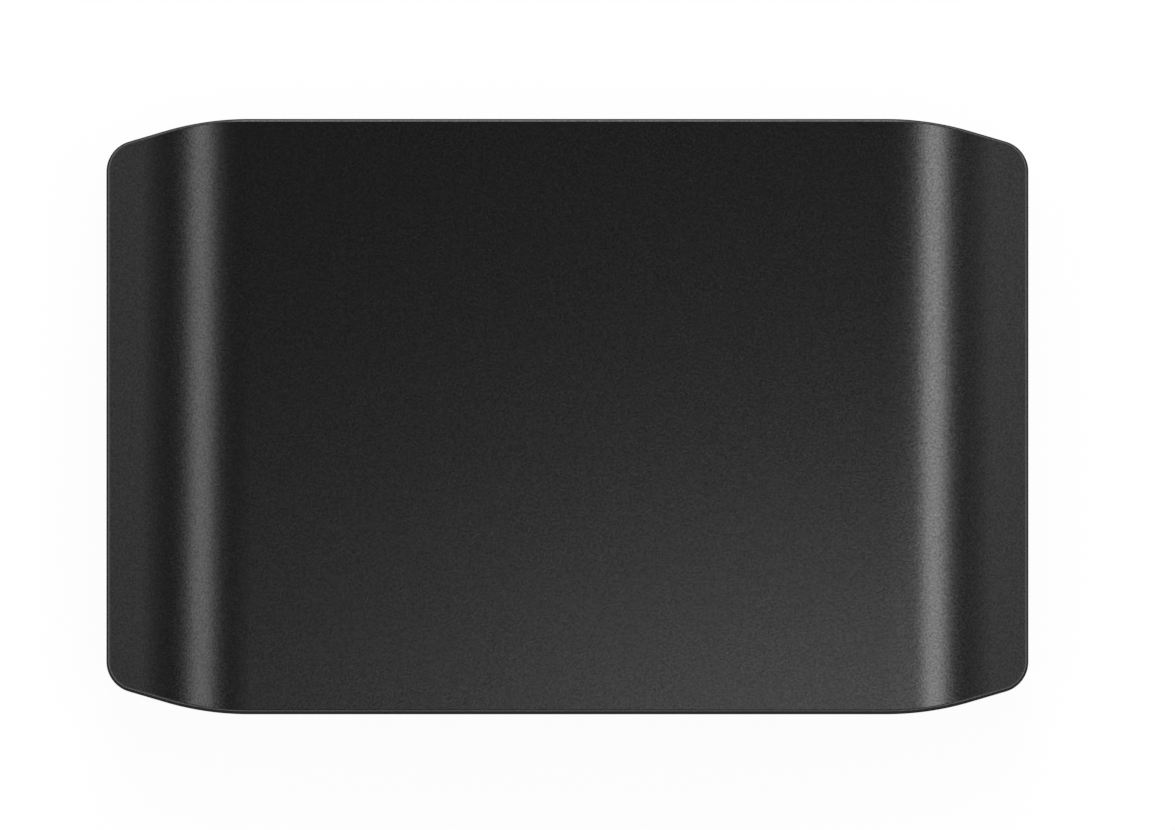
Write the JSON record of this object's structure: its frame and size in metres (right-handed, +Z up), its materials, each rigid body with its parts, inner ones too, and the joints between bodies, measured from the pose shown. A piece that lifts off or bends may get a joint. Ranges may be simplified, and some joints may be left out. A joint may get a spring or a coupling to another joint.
{
  "type": "video capture box",
  "caption": "Flat black moulded video capture box with tapered, sloping ends; video, data and audio sockets in its rear wall.",
  "frame": {"origin": "middle of the box's footprint, on the surface that it stands on", "axes": "+X along the long side to the right, -Y out of the front face, +Y out of the socket face, +Z up"},
  "size_m": [0.112, 0.0724, 0.018],
  "materials": {
    "cover_plastic": "black ABS with a fine spark-eroded grain",
    "foot_rubber": "dark grey moulded rubber",
    "screw_steel": "zinc-plated steel",
    "board_laminate": "glass-epoxy laminate under green solder mask",
    "plated_steel": "nickel-plated sheet steel",
    "socket_plastic": "black glass-filled nylon",
    "gold_contact": "gold-flashed copper alloy",
    "clear_acrylic": "frosted clear acrylic",
    "led_resin": "pale moulded resin",
    "chip_package": "black moulded epoxy",
    "soft_pad": "grey-blue silicone pad",
    "alloy": "plain aluminium",
    "can_steel": "nickel-plated can",
    "ferrite": "moulded iron powder",
    "ceramic_body": "tan fired ceramic"
  },
  "bodies": {
    "root": {"top_cover": "cover_plastic", "bottom_cover": "cover_plastic", "foot_front_left": "foot_rubber", "foot_front_right": "foot_rubber", "foot_rear_left": "foot_rubber", "foot_rear_right": "foot_rubber", "case_screws": "screw_steel", "board_screws": "screw_steel", "main_board": "board_laminate", "video_in_shell": "plated_steel", "video_out_shell": "plated_steel", "data_port_shell": "plated_steel", "video_in_core": "socket_plastic", "video_out_core": "socket_plastic", "data_port_core": "socket_plastic", "audio_jack_body": "socket_plastic", "video_in_contacts": "gold_contact", "video_out_contacts": "gold_contact", "data_port_contacts": "gold_contact", "audio_jack_contacts": "gold_contact", "light_pipe": "clear_acrylic", "status_led": "led_resin", "video_processor": "chip_package", "memory_chips": "chip_package", "input_receiver": "chip_package", "output_driver": "chip_package", "data_controller": "chip_package", "audio_converter": "chip_package", "flash_memory": "chip_package", "voltage_regulators": "chip_package", "surge_arrays": "chip_package", "chip_resistors": "chip_package", "thermal_pad": "soft_pad", "heat_sink": "alloy", "polymer_capacitors": "alloy", "clock_crystals": "can_steel", "power_inductors": "ferrite", "ceramic_capacitors": "ceramic_body"}
  },
  "joints": []
}
